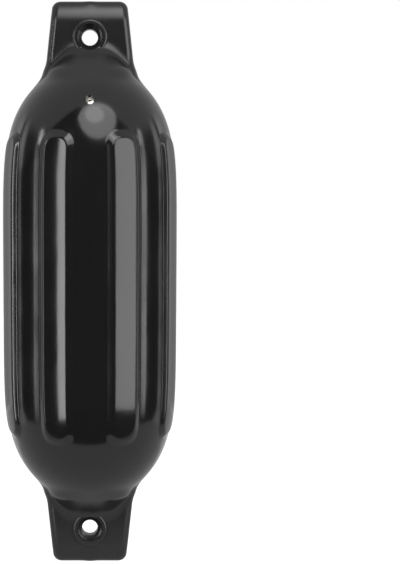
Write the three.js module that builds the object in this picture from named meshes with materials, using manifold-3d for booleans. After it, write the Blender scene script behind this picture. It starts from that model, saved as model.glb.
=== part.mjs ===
// Ribbed inflatable boat fender with a flat rope eye at each end.
// Millimetres, +Z up along the fender, -Y is the front that carries the valve.
// The origin is the centre of the fender.
import * as THREE from 'three';
import { mergeVertices } from 'three/addons/utils/BufferGeometryUtils.js';
import Module from 'manifold-3d';

const wasm = await Module();
wasm.setup();

// Overall
const LENGTH = 686;            // tip to tip
const BARREL_R = 104.7;        // skin between the ribs at mid length
const BARREL_RAISE = 1.8;      // the barrel and its domes sit nearer the valve end
const WALL = 3.2;              // moulded skin

// Domed ends: radius falls as 1 - (z / pole)^power, then runs on as a cone
const POLE_FROM_TIP = 60;      // where the dome would close, below the tip
const DOME_POWER = 6.1;
const NECK_ANGLE = 48.3;       // cone half angle, degrees
const NECK_SPREAD = 21.8;      // extra half width of the neck section
const NECK_SPREAD_LENGTH = 18; // length over which the neck widens
const NECK_SQUARENESS = 0.5;   // added to the section exponent of 2

// Eye tabs
const TAB_TIP_WIDTH = 89.4;    // width that the side lines reach at the tip
const TAB_TAPER = 6.1;         // each side, degrees
const TAB_THICKNESS = 29.4;
const TAB_EDGE_R = 8.5;        // long edges
const TAB_CORNER_R = 8.6;      // corners seen from the front
const TIP_SWEEP_LENGTH = 25;   // face curves back over this length to the tip
const TIP_SWEEP_R = 40;
const TIP_EDGE_R = 4.5;
const BLEND_FRONT = 13;        // fillet size between dome and tab faces
const BLEND_SIDE = 15.4;       // fillet size between dome and tab sides

// Rope eyes
const EYE_FROM_TIP = 42.9;
const EYE_BORE = 19.6;         // diameter
const EYE_LAND = 14;           // straight length of the bore
const EYE_STEP_1_R = 12.6;
const EYE_STEP_2_R = 15.4;
const EYE_DRAFT = 8;           // degrees, wall of the sink above the last step
const EYE_STEP_RISE = 2.2;     // height of each step
const EYE_RIM_R = 21.7;        // outer radius of the raised rim
const EYE_RIM_HEIGHT = 3.2;
const EYE_RIM_CREST_R = 18.1;

// Ribs
const RIB_COUNT = 8;
const RIB_HEIGHT = 3.5;
const RIB_WIDTH = 36.4;        // across the middle of the two flanks
const RIB_FLANK = 9.8;         // width of a flank, foot to crest
const RIB_ROUNDING = 0.22;     // share of the flank taken by the round at its foot, and at its crest
const RIB_END_FROM_POLE = 102.1;
const RIB_CORNER_R = 13;

// Valve: a metal bush moulded into a boss, closed by a rubber core
const VALVE_FROM_POLE = 63.1;
const BUSH_HEAD_R = 4.8;
const BUSH_HEAD_T = 1.7;
const BUSH_HEAD_CROWN = 0.5;
const BUSH_STEM_R = 4;
const BUSH_LENGTH = 13;
const NEEDLE_HOLE_R = 1.1;
const CORE_R = 2.5;
const CORE_LENGTH = 9.6;
const RECESS_DEPTH = 1.2;      // bush crown below the skin
const RECESS_MOUTH_R = 6.5;
const BOSS_WALL = 6;           // plastic around the bush stem
const BOSS_END = 2.5;          // stem end to boss end, inwards
const CLEAR = 0.3;             // clearance between separate pieces

// Cavity
const CAVITY_EYE_WALL = 7;     // plastic between the cavity and the eye rim
const CAVITY_CAP = 20;         // length of the rounded end of the cavity

const EYE_SEGMENTS = 24;
const rad = Math.PI / 180;
const half = LENGTH / 2;
const pole = half - POLE_FROM_TIP;
const eyeZ = half - EYE_FROM_TIP;
const ribEnd = pole - RIB_END_FROM_POLE;
const tabB = TAB_THICKNESS / 2;
const sectorDeg = 360 / RIB_COUNT;

const clamp = (v, a, b) => Math.min(b, Math.max(a, v));
const smooth = (t) => { const u = clamp(t, 0, 1); return u * u * (3 - 2 * u); };
// Straight slope from 0 to 1 with a round at each end
function ramp(t) {
  const u = clamp(t, 0, 1), m = 1 / (1 - RIB_ROUNDING);
  if (u < RIB_ROUNDING) return m * u * u / (2 * RIB_ROUNDING);
  if (u > 1 - RIB_ROUNDING) return 1 - m * (1 - u) * (1 - u) / (2 * RIB_ROUNDING);
  return m * (u - RIB_ROUNDING / 2);
}
function softMax(a, b, k) {
  const h = Math.max(k - Math.abs(a - b), 0) / k;
  return Math.max(a, b) + h * h * k / 4;
}

// Distance from mid barrel at which the dome has reached the cone's slope
const coneZ = pole * Math.pow(Math.tan(NECK_ANGLE * rad) * pole / (BARREL_R * DOME_POWER), 1 / (DOME_POWER - 1));
const coneR = BARREL_R * (1 - Math.pow(coneZ / pole, DOME_POWER));
function domeR(z) {
  const h = Math.abs(z - BARREL_RAISE);
  if (h < coneZ) return BARREL_R * (1 - Math.pow(h / pole, DOME_POWER));
  return coneR - (h - coneZ) * Math.tan(NECK_ANGLE * rad);
}
function domeSlope(z) {
  const h = Math.abs(z - BARREL_RAISE);
  if (h < coneZ) return BARREL_R * DOME_POWER * Math.pow(h / pole, DOME_POWER - 1) / pole;
  return Math.tan(NECK_ANGLE * rad);
}
// Section of the dome at a height: a circle that turns into a wide superellipse at the neck
function domeSection(theta, z) {
  const b = Math.max(domeR(z), 0.5);
  const w = smooth((Math.abs(z - BARREL_RAISE) - coneZ + 4) / NECK_SPREAD_LENGTH);
  const a = Math.hypot(b, NECK_SPREAD * w);
  const n = 2 + NECK_SQUARENESS * w;
  return Math.pow(Math.pow(Math.abs(Math.sin(theta)) / a, n) + Math.pow(Math.abs(Math.cos(theta)) / b, n), -1 / n);
}
// Half width, half thickness and edge radius of the tab at a height
function tabSize(z) {
  const h = Math.abs(z);
  const up = clamp(h - (half - TAB_CORNER_R), 0, TAB_CORNER_R);
  const a = TAB_TIP_WIDTH / 2 + (half - h) * Math.tan(TAB_TAPER * rad)
    - (TAB_CORNER_R - Math.sqrt(Math.max(TAB_CORNER_R ** 2 - up ** 2, 0)));
  const s = clamp(h - (half - TIP_SWEEP_LENGTH), 0, TIP_SWEEP_LENGTH);
  const e = clamp(h - (half - TIP_EDGE_R), 0, TIP_EDGE_R);
  const b = tabB - (TIP_SWEEP_R - Math.sqrt(TIP_SWEEP_R ** 2 - s ** 2))
    - (TIP_EDGE_R - Math.sqrt(Math.max(TIP_EDGE_R ** 2 - e ** 2, 0))) * 0.8;
  return { a, b, r: Math.min(TAB_EDGE_R, b * 0.92) };
}
function tabSection(theta, z) {
  const { a, b, r } = tabSize(z);
  const s = Math.abs(Math.sin(theta)), c = Math.abs(Math.cos(theta));
  if (c > 1e-9 && b / c * s <= a - r) return b / c;
  if (s > 1e-9 && a / s * c <= b - r) return a / s;
  const cx = a - r, cy = b - r, d = s * cx + c * cy;
  return d + Math.sqrt(Math.max(d * d - (cx * cx + cy * cy - r * r), 0));
}
// Height of the ribs over the skin: a rounded rectangle in arc length and height, sloping flanks
function ribLift(theta, z, grow = 0) {
  const deg = ((theta / rad) % sectorDeg + sectorDeg) % sectorDeg - sectorDeg / 2;
  const hw = RIB_WIDTH / 2 + grow, hz = ribEnd + grow, r = RIB_CORNER_R + grow;
  const qx = Math.abs(deg * rad * BARREL_R) - (hw - r), qz = Math.abs(z - BARREL_RAISE) - (hz - r);
  const d = Math.hypot(Math.max(qx, 0), Math.max(qz, 0)) + Math.min(Math.max(qx, qz), 0) - r;
  return RIB_HEIGHT * ramp(0.5 - d / RIB_FLANK);
}
function outerR(theta, z) {
  const k = BLEND_FRONT + (BLEND_SIDE - BLEND_FRONT) * Math.sin(theta) ** 2;
  return softMax(tabSection(theta, z), domeSection(theta, z), k) + ribLift(theta, z);
}
const cavityEnd = eyeZ - EYE_RIM_R - CAVITY_EYE_WALL;
function innerR(theta, z) {
  const t = clamp((Math.abs(z) - (cavityEnd - CAVITY_CAP)) / CAVITY_CAP, 0, 1);
  const base = domeR(z) - WALL * Math.hypot(1, domeSlope(z));
  return (base + ribLift(theta, z, -WALL * 0.35)) * Math.sqrt(Math.max(1 - t * t, 0));
}

// Angles of the vertices of a ring, measured from the front towards +X
function ribAngles(steps) {
  const out = [];
  const deg = (mm) => mm / BARREL_R / rad;
  for (let i = 0; i < RIB_COUNT; i++) {
    const mid = (i + 0.5) * sectorDeg;
    out.push(i * sectorDeg);
    for (const mm of steps) out.push(mid - deg(mm));
    out.push(mid);
    for (const mm of [...steps].reverse()) out.push(mid + deg(mm));
  }
  return out.map((d) => d * rad);
}
const ribMid = RIB_WIDTH / 2, flank = RIB_FLANK / 2;
const outerRibAngles = ribAngles([ribMid + flank, ribMid + flank * 0.62, ribMid - flank * 0.62, ribMid - flank]);
const innerRibAngles = ribAngles([ribMid + flank * 0.7, ribMid - flank]).filter((_, i) => i % 6 !== 3);
function tabAngles(z) {
  const { a, b, r } = tabSize(z);
  const p1 = Math.atan2(a - r, b), p2 = Math.atan2(a, b - r);
  const q = [0, 0.27, 0.52, 0.74, 0.9].map((f) => f * p1);
  for (const f of [0, 0.33, 0.67, 1]) q.push(p1 + (p2 - p1) * f);
  const out = [...q, Math.PI / 2];
  for (let i = q.length - 1; i >= 0; i--) out.push(Math.PI - q[i]);
  for (let i = 1; i < q.length; i++) out.push(Math.PI + q[i]);
  out.push(1.5 * Math.PI);
  for (let i = q.length - 1; i >= 1; i--) out.push(2 * Math.PI - q[i]);
  return out;
}
const evenAngles = (n) => Array.from({ length: n }, (_, i) => i * 2 * Math.PI / n);

// A closed solid from rings of any vertex count, each given by its angles
function loft(rings) {
  const pos = [], idx = [], start = [];
  for (const ring of rings) {
    start.push(pos.length / 3);
    for (const t of ring.angles) {
      const r = ring.radius(t, ring.z);
      pos.push(r * Math.sin(t), -r * Math.cos(t), ring.z);
    }
  }
  for (let k = 0; k + 1 < rings.length; k++) {
    const A = rings[k].angles, B = rings[k + 1].angles, a0 = start[k], b0 = start[k + 1];
    let i = 0, j = 0;
    while (i < A.length || j < B.length) {
      const ta = i + 1 < A.length ? A[i + 1] : i < A.length ? 2 * Math.PI : Infinity;
      const tb = j + 1 < B.length ? B[j + 1] : j < B.length ? 2 * Math.PI : Infinity;
      const ai = a0 + i % A.length, bj = b0 + j % B.length;
      if (i < A.length && (j >= B.length || ta <= tb)) { idx.push(ai, a0 + (i + 1) % A.length, bj); i++; }
      else { idx.push(ai, b0 + (j + 1) % B.length, bj); j++; }
    }
  }
  const ends = [0, rings.length - 1];
  for (const e of ends) {
    const n = rings[e].angles.length, c = pos.length / 3;
    pos.push(0, 0, rings[e].z);
    for (let i = 0; i < n; i++) {
      const p = start[e] + i, q = start[e] + (i + 1) % n;
      if (e === 0) idx.push(q, p, c); else idx.push(p, q, c);
    }
  }
  const g = new THREE.BufferGeometry();
  g.setAttribute('position', new THREE.Float32BufferAttribute(pos, 3));
  g.setIndex(idx);
  return g;
}

function solid(geometry) {
  let g = geometry.clone();
  g.deleteAttribute('normal');
  g.deleteAttribute('uv');
  g = mergeVertices(g, 1e-4);
  const src = g.index.array, tri = [];
  for (let i = 0; i < src.length; i += 3) {
    const [a, b, c] = [src[i], src[i + 1], src[i + 2]];
    if (a !== b && b !== c && c !== a) tri.push(a, b, c);
  }
  return new wasm.Manifold(new wasm.Mesh({
    numProp: 3, vertProperties: new Float32Array(g.attributes.position.array), triVerts: new Uint32Array(tri),
  }));
}
function geometryOf(manifold) {
  const m = manifold.getMesh();
  const g = new THREE.BufferGeometry();
  const n = m.vertProperties.length / m.numProp, pos = new Float32Array(n * 3);
  for (let i = 0; i < n; i++) for (let k = 0; k < 3; k++) pos[i * 3 + k] = m.vertProperties[i * m.numProp + k];
  g.setAttribute('position', new THREE.BufferAttribute(pos, 3));
  g.setIndex(new THREE.BufferAttribute(new Uint32Array(m.triVerts), 1));
  g.computeVertexNormals();
  return g;
}
// Lathe about the local Y axis from [radius, height] pairs
const lathe = (pairs, segments) => new THREE.LatheGeometry(pairs.map(([r, h]) => new THREE.Vector2(r, h)), segments);

// Outer form of the body
const neckZ = ribEnd + RIB_FLANK / 2 + 4;
const ribZ = [0.45, 0.75].map((f) => f * ribEnd);
for (const mm of [-RIB_CORNER_R * 0.85, -flank * 1.7, -flank, 0, flank]) ribZ.push(ribEnd + mm);
const sinkLow = eyeZ - EYE_RIM_R;
const sweepZ = half - TIP_SWEEP_LENGTH;
const cornerZ = half - TAB_CORNER_R;
// Ring heights from the rib ends to a tip
function towardsTip(side) {
  const neck = BARREL_RAISE + side * neckZ, cone = BARREL_RAISE + side * coneZ, low = side * sinkLow;
  const out = [neck];
  for (let i = 1; i <= 5; i++) out.push(neck + (cone - neck) * i / 5);
  for (let i = 1; i <= 5; i++) out.push(cone + (low - cone) * i / 5);
  for (const f of [0.25, 0.6]) out.push(side * (sinkLow + (sweepZ - sinkLow) * f));
  out.push(side * sweepZ, side * (sweepZ + (cornerZ - sweepZ) * 0.55));
  for (const f of [0, 0.4, 0.72, 0.92, 1]) out.push(side * (cornerZ + TAB_CORNER_R * f));
  return out;
}

const rings = [];
for (const z of towardsTip(-1).reverse()) rings.push({ z, angles: tabAngles(z), radius: outerR });
for (const h of [...ribZ].reverse()) rings.push({ z: BARREL_RAISE - h, angles: outerRibAngles, radius: outerR });
for (const h of ribZ) rings.push({ z: BARREL_RAISE + h, angles: outerRibAngles, radius: outerR });
for (const z of towardsTip(1)) rings.push({ z, angles: tabAngles(z), radius: outerR });
let body = solid(loft(rings));

// Raised rims round the eyes, on both faces
const flankR = EYE_RIM_R - EYE_RIM_CREST_R;
const rim = [[0, 0], [EYE_RIM_R, 0], [EYE_RIM_R, tabB - 0.4]];
for (const d of [20, 50, 90]) {
  rim.push([EYE_RIM_CREST_R + flankR * Math.cos(d * rad), tabB - 0.4 + (EYE_RIM_HEIGHT + 0.4) * Math.sin(d * rad)]);
}
rim.push([0, tabB + EYE_RIM_HEIGHT]);
// Stepped sink and bore, cut from one face to the middle
const sinkTop = tabB + EYE_RIM_HEIGHT;
const land = EYE_LAND / 2;
const wallLow = land + 2 * EYE_STEP_RISE + 1.6;
const sinkFar = sinkTop + 40;
const sink = [
  [0, -1], [EYE_BORE / 2, -1], [EYE_BORE / 2, land], [EYE_STEP_1_R - 0.5, land + 1.7],
  [EYE_STEP_1_R, land + 1.7 + EYE_STEP_RISE], [EYE_STEP_2_R - 0.3, wallLow],
  [EYE_STEP_2_R + (sinkFar - wallLow) * Math.tan(EYE_DRAFT * rad), sinkFar], [0, sinkFar],
];
for (const side of [1, -1]) {
  for (const face of [1, -1]) {
    const place = new THREE.Matrix4().makeTranslation(0, 0, side * eyeZ);
    if (face < 0) place.multiply(new THREE.Matrix4().makeRotationZ(Math.PI));
    body = body.add(solid(lathe(rim, EYE_SEGMENTS).applyMatrix4(place)));
  }
}

// Hollow: the skin keeps its thickness behind the ribs
const innerTop = [];
for (const f of [0.3, 0.6, 0.82, 0.96]) innerTop.push(cavityEnd - CAVITY_CAP + CAVITY_CAP * f);
const cavityRings = [];
const innerEnd = neckZ - 3;
const innerRibZ = [ribEnd * 0.5, ribEnd - flank * 1.8, ribEnd + flank * 0.4, innerEnd];
function towardsCavityEnd(side) {
  const from = BARREL_RAISE + side * innerEnd, to = side * (cavityEnd - CAVITY_CAP);
  const out = [1, 2, 3, 4].map((i) => from + (to - from) * i / 4);
  for (const z of innerTop) out.push(side * z);
  return out;
}
for (const z of towardsCavityEnd(-1).reverse()) cavityRings.push({ z, angles: evenAngles(24), radius: innerR });
for (const h of [...innerRibZ].reverse()) cavityRings.push({ z: BARREL_RAISE - h, angles: innerRibAngles, radius: innerR });
for (const h of innerRibZ) cavityRings.push({ z: BARREL_RAISE + h, angles: innerRibAngles, radius: innerR });
for (const z of towardsCavityEnd(1)) cavityRings.push({ z, angles: evenAngles(24), radius: innerR });
body = body.subtract(solid(loft(cavityRings)));

// Valve frame: local Y points out of the skin, its origin lies on the skin
const valveZ = BARREL_RAISE + pole - VALVE_FROM_POLE;
const tilt = Math.atan(domeSlope(valveZ));
const valvePoint = new THREE.Vector3(0, -outerR(0, valveZ), valveZ);
const valveAxis = new THREE.Vector3(0, -Math.cos(tilt), Math.sin(tilt));
const valveTurn = new THREE.Quaternion().setFromUnitVectors(new THREE.Vector3(0, 1, 0), valveAxis);
const valveFrame = new THREE.Matrix4().compose(valvePoint, valveTurn, new THREE.Vector3(1, 1, 1));
const stemEnd = -RECESS_DEPTH - BUSH_LENGTH;
const headBase = -RECESS_DEPTH - BUSH_HEAD_T;
const boreR = BUSH_STEM_R + CLEAR, pocketR = BUSH_HEAD_R + CLEAR;
const bossR = boreR + BOSS_WALL;
const bossTop = -WALL * 0.5;
const boss = lathe([[0, stemEnd - BOSS_END], [bossR - 1.5, stemEnd - BOSS_END], [bossR, stemEnd - BOSS_END + 1.5], [bossR, bossTop], [0, bossTop]], 20);
body = body.add(solid(boss.applyMatrix4(valveFrame)));
const bore = lathe([
  [0, stemEnd - BOSS_END - 6], [boreR, stemEnd - BOSS_END - 6], [boreR, headBase - CLEAR], [pocketR, headBase - CLEAR],
  [pocketR, -RECESS_DEPTH - 0.3], [RECESS_MOUTH_R - 0.5, -0.7], [RECESS_MOUTH_R, 0], [RECESS_MOUTH_R + 0.3, 3], [0, 3],
], 20);
body = body.subtract(solid(bore.applyMatrix4(valveFrame)));

for (const side of [1, -1]) {
  for (const face of [1, -1]) {
    const place = new THREE.Matrix4().makeTranslation(0, 0, side * eyeZ);
    if (face < 0) place.multiply(new THREE.Matrix4().makeRotationZ(Math.PI));
    body = body.subtract(solid(lathe(sink, EYE_SEGMENTS).applyMatrix4(place)));
  }
}

// Bush with a crowned head and a needle hole; the core sits behind the head
const coreBore = CORE_R + CLEAR;
const coreTop = headBase - 0.4;
const bush = lathe([
  [NEEDLE_HOLE_R, coreTop + CLEAR], [coreBore, coreTop + CLEAR], [coreBore, stemEnd], [BUSH_STEM_R, stemEnd],
  [BUSH_STEM_R, headBase], [BUSH_HEAD_R, headBase], [BUSH_HEAD_R, -RECESS_DEPTH - BUSH_HEAD_CROWN],
  [BUSH_HEAD_R * 0.72, -RECESS_DEPTH - BUSH_HEAD_CROWN * 0.45], [NEEDLE_HOLE_R + 0.5, -RECESS_DEPTH],
  [NEEDLE_HOLE_R, -RECESS_DEPTH - 0.35], [NEEDLE_HOLE_R, coreTop + CLEAR],
], 20);
const core = lathe([[0, coreTop - CORE_LENGTH], [CORE_R - 0.3, coreTop - CORE_LENGTH], [CORE_R, coreTop - CORE_LENGTH + 0.3], [CORE_R, coreTop], [0, coreTop]], 20);

const pvc = new THREE.MeshStandardMaterial({ color: 0x0e0e0f, roughness: 0.18, metalness: 0 });
const nickel = new THREE.MeshStandardMaterial({ color: 0xcfc9bd, roughness: 0.25, metalness: 1 });
const rubber = new THREE.MeshStandardMaterial({ color: 0x161616, roughness: 0.7, metalness: 0 });

function piece(name, geometry, material) {
  const m = new THREE.Mesh(geometry, material);
  m.name = name;
  return m;
}
const fender = new THREE.Group();
fender.add(piece('fender_body', geometryOf(body), pvc));
const valve = new THREE.Group();
valve.applyMatrix4(valveFrame);
valve.add(piece('valve_bush', geometryOf(solid(bush)), nickel));
valve.add(piece('valve_core', geometryOf(solid(core)), rubber));
fender.add(valve);

export default fender;
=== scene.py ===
"""Ribbed inflatable boat fender in gloss black PVC, hung upright in a white studio."""

import math

import bmesh
import bpy
from mathutils import Matrix, Vector


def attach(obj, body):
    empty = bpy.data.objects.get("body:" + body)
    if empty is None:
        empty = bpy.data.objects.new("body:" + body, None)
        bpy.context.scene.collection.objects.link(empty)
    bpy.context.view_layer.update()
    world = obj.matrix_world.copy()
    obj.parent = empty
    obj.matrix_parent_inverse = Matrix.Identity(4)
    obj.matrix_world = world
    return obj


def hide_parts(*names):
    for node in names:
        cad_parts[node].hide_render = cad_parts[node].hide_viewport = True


MM = 0.001
SHARP = math.radians(32)

# The moulding, in millimetres, as in the part's source
LENGTH = 686.0
BARREL_R = 104.7
BARREL_RAISE = 1.8
POLE_FROM_TIP = 60.0
DOME_POWER = 6.1
NECK_ANGLE = math.radians(48.3)
NECK_SPREAD = 21.8
NECK_SPREAD_LENGTH = 18.0
NECK_SQUARENESS = 0.5
TAB_TIP_WIDTH = 89.4
TAB_TAPER = math.radians(6.1)
TAB_THICKNESS = 29.4
TAB_EDGE_R = 8.5
TAB_CORNER_R = 8.6
TIP_SWEEP_LENGTH = 25.0
TIP_SWEEP_R = 40.0
TIP_EDGE_R = 4.5
BLEND_FRONT = 13.0
BLEND_SIDE = 15.4
EYE_FROM_TIP = 42.9
EYE_BORE = 19.6
EYE_LAND = 14.0
EYE_STEP_1_R = 12.6
EYE_STEP_2_R = 15.4
EYE_DRAFT = math.radians(8)
EYE_STEP_RISE = 2.2
EYE_RIM_R = 21.7
EYE_RIM_HEIGHT = 3.2
EYE_RIM_CREST_R = 18.1
RIB_COUNT = 8
RIB_HEIGHT = 3.5
RIB_WIDTH = 36.4
RIB_FLANK = 9.8
RIB_ROUNDING = 0.22
RIB_END_FROM_POLE = 102.1
RIB_TURN = 2.6
VALVE_FROM_POLE = 63.1
BUSH_HEAD_R = 4.8
BUSH_HEAD_T = 1.7
BUSH_HEAD_CROWN = 0.5
BUSH_STEM_R = 4.0
BUSH_LENGTH = 13.0
NEEDLE_HOLE_R = 1.1
CORE_R = 2.5
RECESS_DEPTH = 1.2
RECESS_MOUTH_R = 6.5
CLEAR = 0.3

HALF = LENGTH / 2
POLE = HALF - POLE_FROM_TIP
EYE_Z = HALF - EYE_FROM_TIP
RIB_END = POLE - RIB_END_FROM_POLE
TAB_B = TAB_THICKNESS / 2
CONE_Z = POLE * (math.tan(NECK_ANGLE) * POLE / (BARREL_R * DOME_POWER)) ** (1 / (DOME_POWER - 1))
CONE_R = BARREL_R * (1 - (CONE_Z / POLE) ** DOME_POWER)

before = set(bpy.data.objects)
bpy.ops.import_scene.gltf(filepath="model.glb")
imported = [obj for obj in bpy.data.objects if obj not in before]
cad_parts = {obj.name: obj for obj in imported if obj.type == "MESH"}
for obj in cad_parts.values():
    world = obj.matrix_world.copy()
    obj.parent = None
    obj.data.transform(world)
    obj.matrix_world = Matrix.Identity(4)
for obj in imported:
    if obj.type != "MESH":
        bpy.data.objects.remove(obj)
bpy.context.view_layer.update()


# Shape of the moulding

def clamp(v, a, b):
    return min(b, max(a, v))


def ease(t):
    t = clamp(t, 0, 1)
    return t * t * (3 - 2 * t)


def ramp(t):
    t, m = clamp(t, 0, 1), 1 / (1 - RIB_ROUNDING)
    if t < RIB_ROUNDING:
        return m * t * t / (2 * RIB_ROUNDING)
    if t > 1 - RIB_ROUNDING:
        return 1 - m * (1 - t) ** 2 / (2 * RIB_ROUNDING)
    return m * (t - RIB_ROUNDING / 2)


def soft_max(a, b, k):
    h = max(k - abs(a - b), 0) / k
    return max(a, b) + h * h * k / 4


def dome_radius(z):
    h = abs(z - BARREL_RAISE)
    if h < CONE_Z:
        return BARREL_R * (1 - (h / POLE) ** DOME_POWER)
    return CONE_R - (h - CONE_Z) * math.tan(NECK_ANGLE)


def dome_slope(z):
    h = abs(z - BARREL_RAISE)
    if h < CONE_Z:
        return BARREL_R * DOME_POWER * (h / POLE) ** (DOME_POWER - 1) / POLE
    return math.tan(NECK_ANGLE)


def dome_section(theta, z):
    b = max(dome_radius(z), 0.5)
    w = ease((abs(z - BARREL_RAISE) - CONE_Z + 4) / NECK_SPREAD_LENGTH)
    a = math.hypot(b, NECK_SPREAD * w)
    n = 2 + NECK_SQUARENESS * w
    return ((abs(math.sin(theta)) / a) ** n + (abs(math.cos(theta)) / b) ** n) ** (-1 / n)


def tab_size(z):
    h = abs(z)
    up = clamp(h - (HALF - TAB_CORNER_R), 0, TAB_CORNER_R)
    corner = TAB_CORNER_R - math.sqrt(max(TAB_CORNER_R ** 2 - up ** 2, 0))
    a = TAB_TIP_WIDTH / 2 + (HALF - h) * math.tan(TAB_TAPER) - corner
    s = clamp(h - (HALF - TIP_SWEEP_LENGTH), 0, TIP_SWEEP_LENGTH)
    e = clamp(h - (HALF - TIP_EDGE_R), 0, TIP_EDGE_R)
    sweep = TIP_SWEEP_R - math.sqrt(TIP_SWEEP_R ** 2 - s ** 2)
    edge = TIP_EDGE_R - math.sqrt(max(TIP_EDGE_R ** 2 - e ** 2, 0))
    b = TAB_B - sweep - edge * 0.8
    return a, b, min(TAB_EDGE_R, b * 0.92)


def tab_section(theta, z):
    a, b, r = tab_size(z)
    s, c = abs(math.sin(theta)), abs(math.cos(theta))
    if c > 1e-9 and b / c * s <= a - r:
        return b / c
    if s > 1e-9 and a / s * c <= b - r:
        return a / s
    cx, cy = a - r, b - r
    d = s * cx + c * cy
    return d + math.sqrt(max(d * d - (cx * cx + cy * cy - r * r), 0))


def rib_lift(theta, z):
    sector = 360 / RIB_COUNT
    deg = math.degrees(theta) % sector - sector / 2
    hw = RIB_WIDTH / 2
    # The rib's end turns evenly, which keeps the part's rounded corner to within half a millimetre
    x = abs(math.radians(deg) * BARREL_R)
    y = max(abs(z - BARREL_RAISE) - (RIB_END - hw), 0)
    d = (x ** RIB_TURN + y ** RIB_TURN) ** (1 / RIB_TURN) - hw
    return RIB_HEIGHT * ramp(0.5 - d / RIB_FLANK)


def skin_radius(theta, z):
    k = BLEND_FRONT + (BLEND_SIDE - BLEND_FRONT) * math.sin(theta) ** 2
    return soft_max(tab_section(theta, z), dome_section(theta, z), k) + rib_lift(theta, z)


# Helpers

def shade(bm):
    """Smooth faces, with the edges over an angle left sharp."""
    for f in bm.faces:
        f.smooth = True
    for e in bm.edges:
        e.smooth = not (len(e.link_faces) == 2 and e.calc_face_angle(0) > SHARP)


def piece_from(bm, name, material, smooth=True):
    """Makes a mesh object from a bmesh."""
    if smooth:
        shade(bm)
    mesh = bpy.data.meshes.new(name)
    bm.to_mesh(mesh)
    bm.free()
    obj = bpy.data.objects.new(name, mesh)
    bpy.context.scene.collection.objects.link(obj)
    mesh.materials.append(material)
    return obj


def turned(profile, steps, name, material, place=Matrix()):
    """Spins a closed half profile of (radius, height) in mm about local Y."""
    bm = bmesh.new()
    verts = [bm.verts.new((r * MM, h * MM, 0)) for r, h in profile]
    edges = [bm.edges.new((verts[i], verts[i + 1])) for i in range(len(verts) - 1)]
    bmesh.ops.spin(
        bm, geom=verts + edges, cent=(0, 0, 0), axis=(0, 1, 0), angle=2 * math.pi, steps=steps, use_merge=True)
    bmesh.ops.remove_doubles(bm, verts=bm.verts, dist=1e-7)
    bmesh.ops.recalc_face_normals(bm, faces=bm.faces)
    bmesh.ops.transform(bm, matrix=place, verts=bm.verts)
    return piece_from(bm, name, material)


def combine(target, tool, operation):
    """Joins a tool body to the target, or cuts it out, for good."""
    m = target.modifiers.new("shape", "BOOLEAN")
    m.operation, m.solver, m.object = operation, "EXACT", tool
    dg = bpy.context.evaluated_depsgraph_get()
    mesh = bpy.data.meshes.new_from_object(target.evaluated_get(dg))
    target.modifiers.clear()
    old, target.data = target.data, mesh
    mesh.name = target.name
    bpy.data.meshes.remove(old)
    bpy.data.objects.remove(tool)


def colour(text):
    """sRGB hex to linear RGBA."""
    v = [int(text[i:i + 2], 16) / 255 for i in (0, 2, 4)]
    return tuple(c / 12.92 if c <= 0.04045 else ((c + 0.055) / 1.055) ** 2.4 for c in v) + (1.0,)


def add(material, kind, *values, **settings):
    """Adds a node. Values fill its inputs in order and settings go by name, and an output is linked."""
    tree = material.node_tree
    node = tree.nodes.new(kind)
    inputs = list(enumerate(values))
    for key, value in settings.items():
        name = key.replace("_", " ")
        if name in node.inputs:
            inputs.append((name, value))
        else:
            setattr(node, key, value)
    for key, value in inputs:
        if isinstance(value, bpy.types.NodeSocket):
            tree.links.new(value, node.inputs[key])
        elif value is not None:
            node.inputs[key].default_value = value
    return node


# Materials

def new_material(name, base, **numbers):
    """A material with a base colour and even values, and its shader."""
    material = bpy.data.materials.new(name)
    material.use_nodes = True
    shader = material.node_tree.nodes["Principled BSDF"]
    shader.inputs["Base Color"].default_value = colour(base)
    for key, value in numbers.items():
        shader.inputs[key.replace("_", " ")].default_value = value
    return material, shader


def gloss_moulded_pvc():
    """Flexible PVC, rotationally moulded black: deep gloss, with the faint waviness of a soft wall."""
    material, shader = new_material("gloss_moulded_black_pvc", "151515", IOR=1.53)
    links = material.node_tree.links
    place = add(material, "ShaderNodeTexCoord").outputs["Object"]
    # Rubbed and cleaner patches, some 70 mm across: the gloss changes slightly over the skin
    patches = add(material, "ShaderNodeTexNoise", Vector=place, Scale=14.0, Detail=3.0)
    gloss = add(
        material, "ShaderNodeMapRange", Value=patches.outputs["Fac"],
        From_Min=0.3, From_Max=0.7, To_Min=0.10, To_Max=0.16)
    # The thick solid ends shrink more in the mould and come out duller, from 245 mm off the middle
    height = add(material, "ShaderNodeSeparateXYZ", Vector=place)
    away = add(material, "ShaderNodeMath", height.outputs["Z"], operation="ABSOLUTE")
    ends = add(
        material, "ShaderNodeMapRange", Value=away.outputs[0], interpolation_type="SMOOTHSTEP",
        From_Min=0.245, From_Max=0.275, To_Min=0.0, To_Max=0.14)
    total = add(material, "ShaderNodeMath", gloss.outputs["Result"], ends.outputs["Result"], operation="ADD")
    # Slow unevenness of the wall, 40 to 60 mm across
    wave = add(material, "ShaderNodeTexNoise", Vector=place, Scale=20.0, Detail=1.0)
    slow = add(material, "ShaderNodeBump", Height=wave.outputs["Fac"], Strength=0.24, Distance=0.0012)
    # Orange peel of the mould face, 3 mm
    peel = add(material, "ShaderNodeTexNoise", Vector=place, Scale=330.0, Detail=2.0)
    fine = add(
        material, "ShaderNodeBump", Height=peel.outputs["Fac"], Normal=slow.outputs["Normal"],
        Strength=0.2, Distance=0.00006)
    links.new(total.outputs[0], shader.inputs["Roughness"])
    links.new(fine.outputs["Normal"], shader.inputs["Normal"])
    return material


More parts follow.
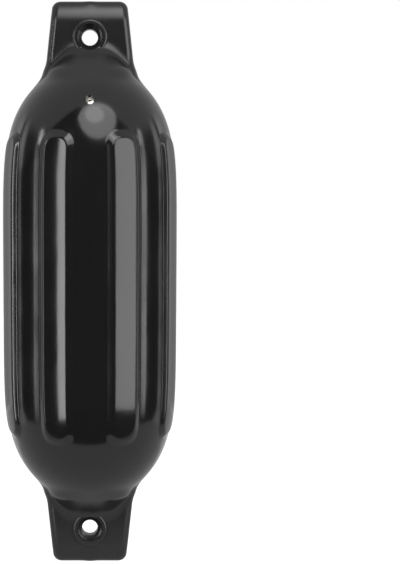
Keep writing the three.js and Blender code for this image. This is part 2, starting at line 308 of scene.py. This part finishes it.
def nickel_plate():
    """Turned brass, nickel plated: faintly warm silver with fine turning marks."""
    material, shader = new_material("nickel_plated_brass", "aaa69f", Metallic=1.0)
    links = material.node_tree.links
    place = add(material, "ShaderNodeTexCoord").outputs["Object"]
    # Turning marks, drawn at 0.7 mm, coarser than real ones
    grain = add(material, "ShaderNodeTexNoise", Vector=place, Scale=1500.0, Detail=3.0)
    gloss = add(material, "ShaderNodeMapRange", Value=grain.outputs["Fac"], To_Min=0.10, To_Max=0.20)
    marks = add(material, "ShaderNodeBump", Height=grain.outputs["Fac"], Strength=0.25, Distance=0.00002)
    links.new(gloss.outputs["Result"], shader.inputs["Roughness"])
    links.new(marks.outputs["Normal"], shader.inputs["Normal"])
    return material


def valve_rubber():
    """Black rubber of the self-sealing core: matt and slightly mottled."""
    material, shader = new_material("black_valve_rubber", "161616", IOR=1.52)
    place = add(material, "ShaderNodeTexCoord").outputs["Object"]
    mottle = add(material, "ShaderNodeTexNoise", Vector=place, Scale=2500.0, Detail=2.0)
    gloss = add(material, "ShaderNodeMapRange", Value=mottle.outputs["Fac"], To_Min=0.6, To_Max=0.8)
    material.node_tree.links.new(gloss.outputs["Result"], shader.inputs["Roughness"])
    return material


pvc = gloss_moulded_pvc()
nickel = nickel_plate()
rubber = valve_rubber()


# Body

# Columns round the form: across half a valley, a flank and the face of each rib, and across half the
# face, one corner and half the side of the tab
VALLEY_STEPS, FLANK_STEPS, FACE_STEPS = 3, 9, 12
TAB_FACE_STEPS, TAB_CORNER_STEPS, TAB_SIDE_STEPS = 50, 16, 6
AROUND = RIB_COUNT * (2 * VALLEY_STEPS + 2 * FLANK_STEPS + FACE_STEPS)
TIP_STEPS = 14


def spaced(spans):
    """Positions along spans of (length, steps)."""
    out, at = [0.0], 0.0
    for length, steps in spans:
        out += [at + length * i / steps for i in range(1, steps + 1)]
        at += length
    return out


def rib_angles():
    sector = 2 * math.pi / RIB_COUNT
    valley = sector * BARREL_R / 2 - RIB_WIDTH / 2 - RIB_FLANK / 2
    half = [(valley, VALLEY_STEPS), (RIB_FLANK, FLANK_STEPS)]
    one = spaced(half + [(RIB_WIDTH - RIB_FLANK, FACE_STEPS)] + half[::-1])[:-1]
    return [i * sector + mm / BARREL_R for i in range(RIB_COUNT) for mm in one]


def tab_angles(z):
    a, b, r = tab_size(z)
    quarter = [math.atan2((a - r) * i / TAB_FACE_STEPS, b) for i in range(TAB_FACE_STEPS)]
    for i in range(TAB_CORNER_STEPS):
        t = math.pi / 2 * i / TAB_CORNER_STEPS
        quarter.append(math.atan2(a - r + r * math.sin(t), b - r + r * math.cos(t)))
    quarter += [math.atan2(a, (b - r) * (1 - i / TAB_SIDE_STEPS)) for i in range(TAB_SIDE_STEPS)]
    back = [math.pi - t for t in reversed(quarter[1:])]
    side = quarter + [math.pi / 2] + back
    return side + [math.pi + t for t in side]


def stations(side):
    """Heights of the rings from mid barrel to a tip, close where the form turns."""
    out = [0, 25, 50, 75, 95, 112, 126, 138, 148, 156]

    def run(to, step):
        start = out[-1]
        count = max(1, round((to - start) / step))
        out.extend(start + (to - start) * i / count for i in range(1, count + 1))

    run(RIB_END - RIB_WIDTH / 2 - 2, 2.5)
    run(RIB_END + RIB_FLANK / 2 + 1, 1.1)
    run(CONE_Z - 8, 2.6)
    out = [BARREL_RAISE * side + h for h in out]
    run(EYE_Z - 6, 1.5)
    run(HALF - TIP_SWEEP_LENGTH, 2.2)
    run(HALF - TAB_CORNER_R, 1.5)
    low = HALF - TAB_CORNER_R
    turns = [math.pi / 2 * i / TIP_STEPS for i in range(1, TIP_STEPS + 1)]
    out.extend(low + TAB_CORNER_R * math.sin(t) for t in turns)
    return [side * h for h in out]


def moulded_body():
    heights = stations(-1)[:0:-1] + stations(1)
    ribs = rib_angles()
    even = [2 * math.pi * i / AROUND for i in range(AROUND)]
    bm = bmesh.new()
    bmesh.ops.create_grid(bm, x_segments=AROUND, y_segments=len(heights) - 1, size=1)
    # Rows and columns of the flat sheet, then its wrap round the form
    rings = {}
    for v in bm.verts:
        i = round((v.co.x + 1) / 2 * AROUND)
        j = round((v.co.y + 1) / 2 * (len(heights) - 1))
        rings.setdefault(j, []).append((i % AROUND, v))
    # The columns keep to the rib flanks on the barrel, spread evenly on the dome, and keep to the tab's corners
    for j, verts in rings.items():
        z = heights[j]
        to_even = ease((abs(z - BARREL_RAISE) - RIB_END - 12) / 22)
        to_tab = ease((abs(z) - CONE_Z + 12) / 34)
        tab = tab_angles(z)
        for i, v in verts:
            theta = ribs[i] + (even[i] - ribs[i]) * to_even
            theta += (tab[i] - theta) * to_tab
            r = skin_radius(theta, z)
            v.co = Vector((r * math.sin(theta), -r * math.cos(theta), z)) * MM
    bmesh.ops.remove_doubles(bm, verts=bm.verts, dist=1e-7)
    bmesh.ops.holes_fill(bm, edges=[e for e in bm.edges if e.is_boundary], sides=0)
    bmesh.ops.recalc_face_normals(bm, faces=bm.faces)
    return piece_from(bm, "moulded_body", pvc)


def eye_places():
    for side in (1, -1):
        for face in (1, -1):
            turn = Matrix.Rotation(math.pi if face > 0 else 0, 4, "Z")
            yield Matrix.Translation((0, 0, side * EYE_Z * MM)) @ turn


body = moulded_body()

# Rounded rim round each eye, which starts a little under the tab's face
RIM_STEPS, RIM_SINK = 11, 0.4
flank, base = EYE_RIM_R - EYE_RIM_CREST_R, TAB_B - RIM_SINK
rim = [(0, 0), (EYE_RIM_R, 0), (EYE_RIM_R, base)]
for i in range(1, RIM_STEPS + 1):
    t = math.pi / 2 * i / RIM_STEPS
    rim.append((EYE_RIM_CREST_R + flank * math.cos(t), base + (EYE_RIM_HEIGHT + RIM_SINK) * math.sin(t)))
rim.append((0, TAB_B + EYE_RIM_HEIGHT))
land = EYE_LAND / 2
ledge = land + 1.7
wall_low = land + 2 * EYE_STEP_RISE + 1.6
# The cutting body ends well past the tab's face, in the open
far = TAB_B + EYE_RIM_HEIGHT + 40
sink = [
    (EYE_BORE / 2, land), (EYE_STEP_1_R - 0.5, ledge),
    (EYE_STEP_1_R, ledge + EYE_STEP_RISE), (EYE_STEP_2_R - 0.3, wall_low),
    (EYE_STEP_2_R + (far - wall_low) * math.tan(EYE_DRAFT), far), (0, far),
]
through = [(r, -h) for r, h in reversed(sink)] + sink
EYE_STEPS, VALVE_STEPS = 96, 64
for n, place in enumerate(eye_places()):
    combine(body, turned(rim, EYE_STEPS, f"rim_{n}", pvc, place), "UNION")
for side in (1, -1):
    place = Matrix.Translation((0, 0, side * EYE_Z * MM))
    combine(body, turned(through, EYE_STEPS, "eye", pvc, place), "DIFFERENCE")

# Valve frame: local Y points out of the skin
valve_z = BARREL_RAISE + POLE - VALVE_FROM_POLE
tilt = math.atan(dome_slope(valve_z))
valve_point = Vector((0, -skin_radius(0, valve_z), valve_z)) * MM
valve_axis = Vector((0, -math.cos(tilt), math.sin(tilt)))
valve_turn = Vector((0, 1, 0)).rotation_difference(valve_axis)
valve_place = Matrix.Translation(valve_point) @ valve_turn.to_matrix().to_4x4()
stem_end = -RECESS_DEPTH - BUSH_LENGTH
head_base = -RECESS_DEPTH - BUSH_HEAD_T
bore_r, pocket_r = BUSH_STEM_R + CLEAR, BUSH_HEAD_R + CLEAR
recess = [
    (0, stem_end - 4), (bore_r, stem_end - 4), (bore_r, head_base - CLEAR),
    (pocket_r, head_base - CLEAR), (pocket_r, -RECESS_DEPTH - 0.3),
    (RECESS_MOUTH_R - 0.5, -0.7), (RECESS_MOUTH_R, 0), (RECESS_MOUTH_R + 0.3, 3), (0, 3),
]
combine(body, turned(recess, VALVE_STEPS, "recess", pvc, valve_place), "DIFFERENCE")

bm = bmesh.new()
bm.from_mesh(body.data)
bmesh.ops.remove_doubles(bm, verts=bm.verts, dist=2e-6)
shade(bm)
bm.to_mesh(body.data)
bm.free()
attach(body, "root")
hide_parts("fender_body")

core_bore = CORE_R + CLEAR
core_top = head_base - 0.4
face = -RECESS_DEPTH
bush_profile = [
    (NEEDLE_HOLE_R, core_top + CLEAR), (core_bore, core_top + CLEAR), (core_bore, stem_end),
    (BUSH_STEM_R, stem_end), (BUSH_STEM_R, head_base), (BUSH_HEAD_R, head_base),
    (BUSH_HEAD_R, face - BUSH_HEAD_CROWN), (BUSH_HEAD_R * 0.9, face - BUSH_HEAD_CROWN * 0.72),
    (BUSH_HEAD_R * 0.72, face - BUSH_HEAD_CROWN * 0.45), (BUSH_HEAD_R * 0.5, face - BUSH_HEAD_CROWN * 0.16),
    (NEEDLE_HOLE_R + 0.5, face), (NEEDLE_HOLE_R + 0.14, face - 0.1),
    (NEEDLE_HOLE_R, face - 0.35), (NEEDLE_HOLE_R, core_top + CLEAR),
]
bush = turned(bush_profile, VALVE_STEPS, "plated_valve_bush", nickel, valve_place)
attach(bush, "root")
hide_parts("valve_bush")

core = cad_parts["valve_core"]
for slot in core.material_slots:
    slot.material = rubber


# Studio, in metres

FLOOR = -1.1
# Cards lie this far over what is under them, so that no two surfaces meet
LIFT = 0.002


def seen_white(material):
    """1 for what the camera, gloss and glass see, 0 for light that falls on things."""
    path = add(material, "ShaderNodeLightPath").outputs
    first = add(material, "ShaderNodeMath", path["Is Camera Ray"], path["Is Glossy Ray"], operation="MAXIMUM")
    second = add(material, "ShaderNodeMath", first.outputs[0], path["Is Transmission Ray"], operation="MAXIMUM")
    return second.outputs[0]


def from_middle(material):
    """Distance of a point from the fender's middle."""
    place = add(material, "ShaderNodeTexCoord").outputs["Object"]
    return add(material, "ShaderNodeVectorMath", place, operation="LENGTH").outputs["Value"]


# White paper floor: what the eye sees of it is white, and the lamps draw the shadow. The sweep
# stays white where the lamps no longer reach it
paper, shader = new_material("white_paper_floor", "e0e0e0", Roughness=0.9)
fill = add(
    paper, "ShaderNodeMapRange", Value=from_middle(paper),
    From_Min=1.3, From_Max=3.0, To_Min=0.6, To_Max=0.84)
glow = add(paper, "ShaderNodeEmission", Strength=fill.outputs["Result"])
both = add(paper, "ShaderNodeAddShader", shader.outputs["BSDF"], glow.outputs["Emission"])
pick = add(paper, "ShaderNodeMixShader", seen_white(paper), shader.outputs["BSDF"], both.outputs["Shader"])
paper.node_tree.links.new(pick.outputs["Shader"], paper.node_tree.nodes["Material Output"].inputs["Surface"])
bm = bmesh.new()
bmesh.ops.create_grid(bm, x_segments=1, y_segments=1, size=12)
bmesh.ops.translate(bm, verts=bm.verts, vec=(0, 0, FLOOR))
piece_from(bm, "studio_floor", paper, smooth=False)


def for_gloss_only(obj):
    """A studio piece that shows in the gloss of the fender and nowhere else."""
    obj.visible_camera = False
    obj.visible_diffuse = False
    obj.visible_shadow = False


# Black cloth in front, out over the floor and up: the dark that the gloss mirrors
CLOTH_R = 2.8
# Azimuth from the front, then the elevations of the lower and upper edge, in degrees
CLOTH_EDGE = [(0, -41, 64), (20, -40.5, 60), (40, -38, 47), (60, -33, 30), (90, -23, 12), (104, -16, 8)]
CLOTH_SIDE = CLOTH_EDGE[-1][0]
MATT_BLACK = {"base": "080808", "Roughness": 1.0, "Specular_IOR_Level": 0.0}
cloth, shader = new_material("black_studio_cloth", **MATT_BLACK)


def cloth_edge(azimuth):
    a = abs(azimuth)
    for (a0, l0, h0), (a1, l1, h1) in zip(CLOTH_EDGE, CLOTH_EDGE[1:]):
        if a <= a1:
            t = (a - a0) / (a1 - a0)
            return math.radians(l0 + (l1 - l0) * t), math.radians(h0 + (h1 - h0) * t)


bm = bmesh.new()
bmesh.ops.create_grid(bm, x_segments=48, y_segments=2, size=1)
for v in bm.verts:
    azimuth = CLOTH_SIDE * v.co.x
    low, high = cloth_edge(azimuth)
    lying = FLOOR + 2 * LIFT
    foot = max(lying, CLOTH_R * math.tan(low))
    # The near edge on the floor, the fold at its foot and the top edge
    rows = {
        -1: (min(lying / math.tan(low), CLOTH_R), foot),
        0: (CLOTH_R, foot),
        1: (CLOTH_R, CLOTH_R * math.tan(high)),
    }
    r, z = rows[round(v.co.y)]
    a = math.radians(azimuth)
    v.co = Vector((r * math.sin(a), -r * math.cos(a), z))
for_gloss_only(piece_from(bm, "black_cloth", cloth, smooth=False))


def unlit_card(name):
    """Card whose brightness is set by its glow alone, with the socket that takes it, where 1 is white."""
    card, shader = new_material(name, Emission_Color=(1, 1, 1, 1), **MATT_BLACK)
    return card, shader.inputs["Emission Strength"]


def disc(radius_x, radius_y, height):
    """A flat card that lies level."""
    bm = bmesh.new()
    bmesh.ops.create_circle(bm, cap_ends=True, segments=48, radius=1)
    bmesh.ops.scale(bm, verts=bm.verts, vec=(radius_x, radius_y, 1))
    bmesh.ops.translate(bm, verts=bm.verts, vec=(0, 0, height))
    return bm


# Grey surround. At the height of the fender it has pale panels and dark gaps at each side behind the
# cloth, as degrees from the camera and brightness. They draw the rims and the outer ribs
SURROUND_R = 5.0
SURROUND_LEVEL = 0.6
SIDES = [
    (101, 0.1), (105, 1.5), (110, 1.5), (114, 0.1), (118, 0.1),
    (121, 1.5), (126, 1.2), (132, 0.8), (139, 0.6), (172, 0.5),
]
# The panels fade out from 17 to 30 degrees up or down, as sines
FADE_FROM, FADE_TO = 0.3, 0.5
surround, strength = unlit_card("grey_surround")
place = add(surround, "ShaderNodeTexCoord").outputs["Object"]
way = add(surround, "ShaderNodeVectorMath", place, operation="NORMALIZE").outputs["Vector"]
parts = add(surround, "ShaderNodeSeparateXYZ", way)
apart = add(surround, "ShaderNodeVectorMath", way, operation="ABSOLUTE")
sizes = add(surround, "ShaderNodeSeparateXYZ", apart.outputs["Vector"])
front = add(surround, "ShaderNodeMath", parts.outputs["Y"], -1.0, operation="MULTIPLY")
turn = add(surround, "ShaderNodeMath", sizes.outputs["X"], front.outputs[0], operation="ARCTAN2")
share = add(surround, "ShaderNodeMath", turn.outputs[0], math.pi, operation="DIVIDE")
panels = add(surround, "ShaderNodeValToRGB", share.outputs[0])
# A ramp's colours stop at 1, so it holds shares of the brightest level
BRIGHTEST = max(level for azimuth, level in SIDES)
panels.color_ramp.elements.remove(panels.color_ramp.elements[1])
for azimuth, level in SIDES:
    element = panels.color_ramp.elements.new(azimuth / 180)
    element.color = (level / BRIGHTEST,) * 3 + (1,)
scaled = add(surround, "ShaderNodeMath", panels.outputs["Color"], BRIGHTEST, operation="MULTIPLY")
fade = add(
    surround, "ShaderNodeMapRange", Value=sizes.outputs["Z"], interpolation_type="SMOOTHSTEP",
    From_Min=FADE_FROM, From_Max=FADE_TO, To_Min=0.0, To_Max=1.0)
mixed = add(
    surround, "ShaderNodeMix", fade.outputs["Result"], None, scaled.outputs[0], SURROUND_LEVEL, data_type="FLOAT")
surround.node_tree.links.new(mixed.outputs[0], strength)
bm = bmesh.new()
bmesh.ops.create_uvsphere(bm, u_segments=32, v_segments=16, radius=SURROUND_R)
bmesh.ops.reverse_faces(bm, faces=bm.faces)
for_gloss_only(piece_from(bm, "grey_surround", surround))

# Grey table card close under the fender, wider than deep
table, strength = unlit_card("grey_table_card")
strength.default_value = 0.56
for_gloss_only(piece_from(disc(0.72, 0.34, -0.362), "grey_table_card", table, smooth=False))

# Grey card on the floor, with painted shade: its glow is darker under the fender, as the gloss sees it
below, strength = unlit_card("grey_card_below")
shade_below = add(
    below, "ShaderNodeMapRange", Value=from_middle(below), interpolation_type="SMOOTHSTEP",
    From_Min=1.3, From_Max=2.6, To_Min=0.56, To_Max=0.82)
below.node_tree.links.new(shade_below.outputs["Result"], strength)
for_gloss_only(piece_from(disc(4.6, 4.6, FLOOR + LIFT), "grey_card_below", below, smooth=False))


def softbox(name, azimuth, elevation, distance, width, height, level, shape="RECTANGLE"):
    """A soft lamp that faces the fender. Level is its brightness, where 1 is white."""
    lamp = bpy.data.lights.new(name, "AREA")
    lamp.shape = shape
    lamp.size, lamp.size_y = width, height
    lamp.energy = level * width * height * math.pi
    obj = bpy.data.objects.new(name, lamp)
    bpy.context.scene.collection.objects.link(obj)
    a, e = math.radians(azimuth), math.radians(elevation)
    way = Vector((math.sin(a) * math.cos(e), -math.cos(a) * math.cos(e), math.sin(e)))
    obj.location = way * distance
    obj.rotation_euler = way.to_track_quat("Z", "Y").to_euler()


softbox("softbox_right", 47.5, 5.5, 1.6, 0.96, 1.45, 3.55)
softbox("strip_far_right", 75.5, 4.5, 1.8, 0.19, 1.62, 3.5)
softbox("strip_left", -33.5, 3.8, 1.8, 0.46, 1.72, 6.0)
softbox("strip_far_left", -73.6, 3.8, 1.8, 0.18, 1.72, 6.5)
softbox("softbox_top", 12.8, 45.4, 1.7, 1.38, 1.10, 2.3, shape="ELLIPSE")
softbox("softbox_top_core", 8, 50, 1.69, 0.66, 0.56, 1.5, shape="ELLIPSE")

# White all round for the eye, and a low even light
world = bpy.data.worlds.new("white_studio")
world.use_nodes = True
world.cycles.sampling_method = "NONE"
bpy.context.scene.world = world
level = add(world, "ShaderNodeMapRange", Value=seen_white(world), To_Min=0.3, To_Max=1.0)
sky = world.node_tree.nodes["Background"]
sky.inputs["Color"].default_value = (1, 1, 1, 1)
world.node_tree.links.new(level.outputs["Result"], sky.inputs["Strength"])

# Camera, level with the upper half of the barrel and tipped down a little. In the picture the fender's
# axis stands at one column, and the lens points at one row
DISTANCE, ELEVATION, PITCH = 1.8, math.radians(4.0), math.radians(5.5)
WIDTH_PX, HEIGHT_PX, FOCAL_PX = 400, 564, 1466.7
AXIS_COLUMN, LENS_ROW = 89.9, 324.4
SENSOR = 36
camera_data = bpy.data.cameras.new("camera")
camera = bpy.data.objects.new("camera", camera_data)
bpy.context.scene.collection.objects.link(camera)
camera.location = (0, -DISTANCE * math.cos(ELEVATION), DISTANCE * math.sin(ELEVATION))
camera.rotation_euler = (math.pi / 2 - PITCH, 0, 0)
camera_data.sensor_width = SENSOR
camera_data.lens = FOCAL_PX / HEIGHT_PX * SENSOR
camera_data.shift_x = (WIDTH_PX / 2 - AXIS_COLUMN) / HEIGHT_PX
camera_data.shift_y = (LENS_ROW - HEIGHT_PX / 2) / HEIGHT_PX
bpy.context.scene.camera = camera
bpy.context.scene.view_settings.view_transform = "Standard"
